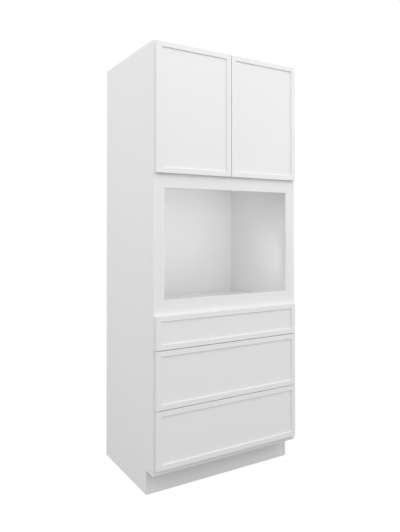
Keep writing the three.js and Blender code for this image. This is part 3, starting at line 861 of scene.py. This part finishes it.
# %% Its arm's pin is riveted over at both ends
ARM_PIN = (-0.0035, 0.0075)
EAR_FACE = 0.0053
RIVET = domed("rivet", radius=0.0018, height=0.0006, rim=0.00045, sides=14)
print("rivet has", len(RIVET.data.polygons), "faces")


def fit_rivets(stem, side, z):
    rivet_spots = [(at_hinge(side, *ARM_PIN, z + way * EAR_FACE), (0, 0, way))
                   for way in (-1, 1)]
    belongs(set_of(RIVET, f"{stem}_rivets", rivet_spots, along=(0, 1, 0)),
            "cabinet", NICKEL)


# %% Its cup is screwed to the door
FLANGE_FACE = 0.0003875
CUP_SCREW_RISE = 0.0225
CUP_SCREW_IN = 0.00152


def fit_cup_screws(stem, hand, side, z):
    flush_spots = [(at_hinge(side, -CUP_SCREW_IN, FLANGE_FACE, z + rise), (0, 1, 0))
                   for rise in (-CUP_SCREW_RISE, CUP_SCREW_RISE)]
    belongs(set_of(SCREWS["flush_screw"], f"{stem}_cup_screws", flush_spots, spin=0.9),
            f"{hand}_door", NICKEL)


# %% Fit the hinges
for stem, hand, side, z in each_hinge():
    fit_plate(stem, side, z)
    fit_rivets(stem, side, z)
    fit_cup_screws(stem, hand, side, z)
print("screws, cams and rivets made for", len(HANDS) * len(LEVELS), "hinges")

# %% The closing spring: a round wire swept along a helix by the Screw modifier
WIRE = 0.00075
WIRE_SIDES = 8
COIL_RADIUS = 0.00185
COIL_TURNS = 4
COIL_STEPS = 14
COIL_FOOT = 0.0036
COIL_RISE = WIRE * 1.25


def swept_wire():
    bpy.ops.object.select_all(action="DESELECT")
    bpy.ops.mesh.primitive_circle_add(
        vertices=WIRE_SIDES, radius=WIRE / 2, rotation=(math.pi / 2, 0, 0),
        location=(COIL_RADIUS, 0, COIL_FOOT))
    coil = settle("coil")
    sweep = coil.modifiers.new("sweep", "SCREW")
    sweep.axis = "Z"
    sweep.angle = 2 * math.pi
    sweep.iterations = COIL_TURNS
    sweep.screw_offset = COIL_RISE
    sweep.steps = COIL_STEPS
    sweep.use_merge_vertices = False
    bpy.ops.object.modifier_apply(modifier=sweep.name)
    return coil


# %% Close the wire's two ends, turn its faces outwards and wind it on every cup
def closing_spring():
    coil = swept_wire()
    bpy.ops.object.mode_set(mode="EDIT")
    bpy.ops.mesh.select_mode(type="EDGE")
    bpy.ops.mesh.select_all(action="SELECT")
    bpy.ops.mesh.fill_holes(sides=WIRE_SIDES)
    bpy.ops.mesh.select_all(action="SELECT")
    bpy.ops.mesh.normals_make_consistent(inside=False)
    leave_edit()
    bpy.ops.object.shade_smooth()
    return coil


CUP_PIN = (0.0185, 0.0032)
COIL = closing_spring()
for stem, hand, side, z in each_hinge():
    spots = [(at_hinge(side, *CUP_PIN, z), (0, 0, way)) for way in (-1, 1)]
    springs = set_of(COIL, f"{stem}_springs", spots, along=(0, 1, 0))
    belongs(springs, f"{hand}_door", NICKEL)
discard(RIVET, COIL, SCREWS["plate_screw"], SCREWS["cam_screw"], SCREWS["flush_screw"])
print("each spring is", round(1000 * (COIL_TURNS * COIL_RISE + WIRE), 1), "mm long")

# %% [markdown]
# ## Slide fittings
#
# Three pan-head screws hold each inner rail to its box. A black lever inside the rail lets go of
# the drawer when it is pressed: a flat strip with a tongue that curves away from the rail. Each
# outer rail's foot is screwed to the back panel. The lever could be cut from a bent block, but
# drawing out the end of a strip step by step keeps its thickness and gives the curve directly.

# %% The release lever: a strip whose end is drawn out in steps
LEVER_LENGTH = 0.030
LEVER_HALF_WIDTH = 0.0065
LEVER_FOOT, LEVER_TOP = 0.0001, 0.0016
LEVER_CURVE = ((0.0040, 0.0006), (0.0035, 0.0014), (0.0030, 0.0020))
BOSS_RADIUS, BOSS_HEIGHT, BOSS_MIDDLE = 0.0042, 0.0032, 0.0017
BOSS_FROM_END = 0.006
LEVER_EDGE = 0.0003


def release_lever():
    lever = board("lever", (-LEVER_HALF_WIDTH, 0, LEVER_FOOT),
                  (LEVER_HALF_WIDTH, LEVER_LENGTH, LEVER_TOP))
    pick_faces(lever, lambda place, normal: normal.y < -MOSTLY)
    for forwards, rise in LEVER_CURVE:
        bpy.ops.mesh.extrude_region_move(
            TRANSFORM_OT_translate={"value": (0, -forwards, rise)})
    leave_edit()
    boss = disc("boss", BOSS_RADIUS, BOSS_HEIGHT,
                (0, LEVER_LENGTH - BOSS_FROM_END, BOSS_MIDDLE), HEAD_SIDES)
    boolean(lever, boss, "UNION")
    discard(boss)
    soften(lever, LEVER_EDGE, segments=2)
    return lever


LEVER = release_lever()
print("lever has", len(LEVER.data.polygons), "faces")

# %% An inner rail has three screws and a lever
RAIL_STEEL = 0.0012
SCREW_START = 0.037
SCREW_PITCH = 0.160
SCREWS_IN_RAIL = 3
LEVER_START = 0.150


def rail_height(stem):
    low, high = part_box(f"{stem}_inner_rail")
    return (low.z + high.z) / 2


def fit_inner_rail(drawer, stem, side):
    low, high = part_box(f"{stem}_inner_rail")
    web = side * (min(abs(low.x), abs(high.x)) + RAIL_STEEL)
    z = rail_height(stem)
    outwards = (side, 0, 0)
    spots = [((web, low.y + SCREW_START + SCREW_PITCH * step, z), outwards)
             for step in range(SCREWS_IN_RAIL)]
    belongs(set_of(SCREWS["slide_screw"], f"{stem}_rail_screws", spots, spin=0.8),
            drawer, ZINC)
    lever_spot = [((web, low.y + LEVER_START, z), outwards)]
    belongs(set_of(LEVER, f"{stem}_lever", lever_spot, along=(0, 1, 0)),
            drawer, BLACK_NYLON)


# %% An outer rail's foot has two
FOOT_SCREW_OUT = 0.009
FOOT_SCREW_RISE = 0.005


def fit_foot(stem, side):
    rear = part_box(f"{stem}_outer_rail")[1].y - RAIL_STEEL
    foot_x = side * (OPENING_EDGE + FOOT_SCREW_OUT)
    z = rail_height(stem)
    feet = [((foot_x, rear, z + rise), (0, -1, 0))
            for rise in (-FOOT_SCREW_RISE, FOOT_SCREW_RISE)]
    belongs(set_of(SCREWS["slide_screw"], f"{stem}_foot_screws", feet, spin=0.5),
            "cabinet", ZINC)


# %% Fit the slides
for drawer in DRAWERS:
    for hand, side in HANDS.items():
        fit_inner_rail(drawer, f"{drawer}_{hand}", side)
        fit_foot(f"{drawer}_{hand}", side)
discard(LEVER, SCREWS["slide_screw"])
print("slide fittings made for", len(HANDS) * len(DRAWERS), "slides")

# %% [markdown]
# ## Front screws and bumpers
#
# Four screws from inside a box hold its front, so nothing shows outside. Small soft bumpers on
# the backs of doors and fronts keep them off the frame's paint. They could be half spheres, but
# the real ones are low discs with a rounded rim, which the same steps as for a screw's head give.

# %% The screws in the front wall of each box
FRONT_SCREW_OUT = 0.7
FRONT_SCREW_HEIGHTS = (0.32, 0.76)

for drawer in DRAWERS:
    low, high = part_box(f"{drawer}_box")
    across = high.x * FRONT_SCREW_OUT
    heights = [low.z + (high.z - low.z) * share for share in FRONT_SCREW_HEIGHTS]
    spots = [((x, low.y + WALL, z), (0, 1, 0)) for x in (-across, across) for z in heights]
    belongs(set_of(SCREWS["front_screw"], f"{drawer}_front_screws", spots, spin=0.6),
            drawer, ZINC)
    print(drawer, "front is held by", len(spots), "screws")
discard(SCREWS["front_screw"])

# %% One bumper, as a pattern
BUMPER = domed("bumper", radius=0.004, height=0.00145, rim=0.0009, sides=28, steps=4)
smooth(BUMPER)
print("bumper has", len(BUMPER.data.polygons), "faces")

# %% Bumpers near the corners of every door and front
BUMPER_FROM_END = 0.008
BUMPER_FROM_DOOR_EDGE = 0.012
BUMPER_FROM_OPENING = 0.014


def add_bumpers(front, body, columns):
    low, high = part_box(front)
    rows = (low.z + BUMPER_FROM_END, high.z - BUMPER_FROM_END)
    spots = [((x, high.y, z), (0, 1, 0)) for x in columns for z in rows]
    belongs(set_of(BUMPER, f"{front}_bumpers", spots), body, CLEAR_BUMPER)
    print(front, "has", len(spots), "bumpers")


for hand, side in HANDS.items():
    free_edge = min(abs(corner.x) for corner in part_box(f"{hand}_door"))
    add_bumpers(f"{hand}_door", f"{hand}_door", [side * (free_edge + BUMPER_FROM_DOOR_EDGE)])
for drawer in DRAWERS:
    edge = OPENING_EDGE + BUMPER_FROM_OPENING
    add_bumpers(f"{drawer}_front", drawer, [-edge, edge])
discard(BUMPER)

# %% [markdown]
# ## Floor and backdrop
#
# In the photograph the unit stands on pure white, and its shadow on the floor is too faint to
# see. A white floor could be lit until it clips, but the same light would wash out the white
# paint. So rays that look at the floor or the world find them white, and all other rays find
# them dimmer. The floor that is looked at glows just short of white and adds a little of the
# light that falls on it, which keeps the unit's own shadow. The grey that other rays find sets
# how much light comes back up on the low parts: with a paler floor the foot of the side got too
# light.

# %% Rays that see the background: straight from the camera, mirrored or through glass
def looked_at(tree):
    rays = add_node(tree, "ShaderNodeLightPath").outputs
    mirrored = either(tree, rays["Is Camera Ray"], rays["Is Glossy Ray"])
    return either(tree, mirrored, rays["Is Transmission Ray"])


def choose(tree, plain, seen, output):
    chooser = add_node(tree, "ShaderNodeMixShader", {0: looked_at(tree), 1: plain, 2: seen})
    feed(tree, add_node(tree, output), "Surface", chooser.outputs[0])


# %% Floor
FLOOR_HALF = 12.0
FLOOR_GREY = grey(0.30)
SEEN_GREY = grey(0.16)
SEEN_GLOW = 0.90


def floor_material():
    material = bpy.data.materials.new("pale_floor")
    material.use_nodes = True
    tree = material.node_tree
    tree.nodes.clear()
    matt = add_node(tree, "ShaderNodeBsdfDiffuse", {"Color": FLOOR_GREY})
    seen_matt = add_node(tree, "ShaderNodeBsdfDiffuse", {"Color": SEEN_GREY})
    glow = add_node(tree, "ShaderNodeEmission", {"Color": grey(1.0), "Strength": SEEN_GLOW})
    seen = add_node(tree, "ShaderNodeAddShader", {0: seen_matt.outputs[0], 1: glow.outputs[0]})
    choose(tree, matt.outputs[0], seen.outputs[0], "ShaderNodeOutputMaterial")
    return material


def make_floor():
    bpy.ops.object.select_all(action="DESELECT")
    bpy.ops.mesh.primitive_plane_add(size=2 * FLOOR_HALF, location=(0, 0, 0))
    floor = bpy.context.object
    floor.name = "floor"
    floor.data.materials.append(floor_material())
    print("floor is", 2 * FLOOR_HALF, "m wide")


make_floor()

# %% World
AMBIENT = 0.69
BACKDROP = 1.02  # a hair over white, so that no pixel falls a level short of it


def make_world():
    world = bpy.data.worlds.new("studio")
    bpy.context.scene.world = world
    world.use_nodes = True
    tree = world.node_tree
    tree.nodes.clear()
    dim = add_node(tree, "ShaderNodeBackground", {"Color": grey(1.0), "Strength": AMBIENT})
    white = add_node(tree, "ShaderNodeBackground", {"Color": grey(1.0), "Strength": BACKDROP})
    choose(tree, dim.outputs[0], white.outputs[0], "ShaderNodeOutputWorld")


make_world()
print("the world shines at", AMBIENT, "on the unit")

# %% [markdown]
# ## Lamps
#
# The unit was pictured in even light from large soft sources: the fronts are the lightest faces,
# the side is a little darker and the inside of the oven opening darker again. One strong lamp
# would throw sharp shadows that the photograph lacks. A bright world alone would light every
# face alike. So a dim world fills in and wide lamps shape the rest. Each lamp was rendered
# alone, and their powers were then weighed together against the tones in the photograph. Two
# weak lamps stand in the mouth of the oven opening and shine inwards, one of them up from the
# sill, because light that only comes in from the room leaves the opening too dark, above all at
# its top.

# %% A soft lamp: a rectangle that shines at its target
def soft_lamp(name, place, target, size, power):
    data = bpy.data.lights.new(name, "AREA")
    data.shape = "RECTANGLE"
    data.size, data.size_y = size
    data.energy = power
    lamp = bpy.data.objects.new(name, data)
    bpy.context.scene.collection.objects.link(lamp)
    lamp.location = place
    aim = Vector(target) - Vector(place)
    lamp.rotation_euler = aim.to_track_quat("-Z", "Y").to_euler()
    lamp.visible_camera = False  # the camera looks through the lamps in the oven opening
    return lamp


# %% The room's lamps: place, target, size in metres and power in watts
ROOM_LAMPS = {
    "left_high": ((-3.5, 0.3, 2.6), (0, 0.3, 1.4), (3, 3), 29.5),
    "left_front_high": ((-3, -2.6, 3.4), (0, 0, 1.4), (2.5, 2.5), 19),
    "right_high": ((3.8, -3.2, 2.2), (0, 0, 1.6), (2.5, 2.5), 46),
    "front_high": ((0, -2.6, 3.4), (0, 0, 1.6), (3, 1.5), 15.5),
    "front": ((-1.3, -4.8, 1.5), (0, 0, 1.2), (1.5, 1.5), 21.5),
    "overhead": ((0, 0, 4.5), (0, 0, 1), (4, 4), 30),
}
for name, facts in ROOM_LAMPS.items():
    soft_lamp(name, *facts)
print(len(ROOM_LAMPS), "lamps give", sum(facts[-1] for facts in ROOM_LAMPS.values()), "W")

# %% The two lamps in the mouth of the oven opening
CAVITY_LOW, CAVITY_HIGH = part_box("left_oven_filler")
CAVITY_MIDDLE = (CAVITY_LOW.z + CAVITY_HIGH.z) / 2
CAVITY_MOUTH = CAVITY_HIGH.y + 0.004
CAVITY_SIZE = (0.72, 0.52)
CAVITY_POWER = 0.385
SILL_SIZE = (0.70, 0.08)
SILL_HEIGHT = CAVITY_LOW.z + 0.06
SILL_POWER = 0.35
SILL_SPREAD = math.radians(90)

soft_lamp("cavity", (0, CAVITY_MOUTH, CAVITY_MIDDLE), (0, 1, CAVITY_MIDDLE),
          CAVITY_SIZE, CAVITY_POWER)
sill_lamp = soft_lamp("cavity_sill", (0, CAVITY_MOUTH, SILL_HEIGHT), (0, 0.27, CAVITY_HIGH.z),
                      SILL_SIZE, SILL_POWER)
sill_lamp.data.spread = SILL_SPREAD
print("the opening's lamps stand", round(CAVITY_MOUTH - FRAME_FRONT, 3), "m behind its front")

# %% [markdown]
# ## Colours as they are written
#
# A view transform turns the light that was worked out into the picture's colours. The one that
# Blender starts with holds back bright tones, as film does, and would turn the white paint grey.
# Standard shows a colour about as it is written, so it is used here.

# %% The picture's colours
bpy.context.scene.view_settings.view_transform = "Standard"
print("view transform:", bpy.context.scene.view_settings.view_transform)
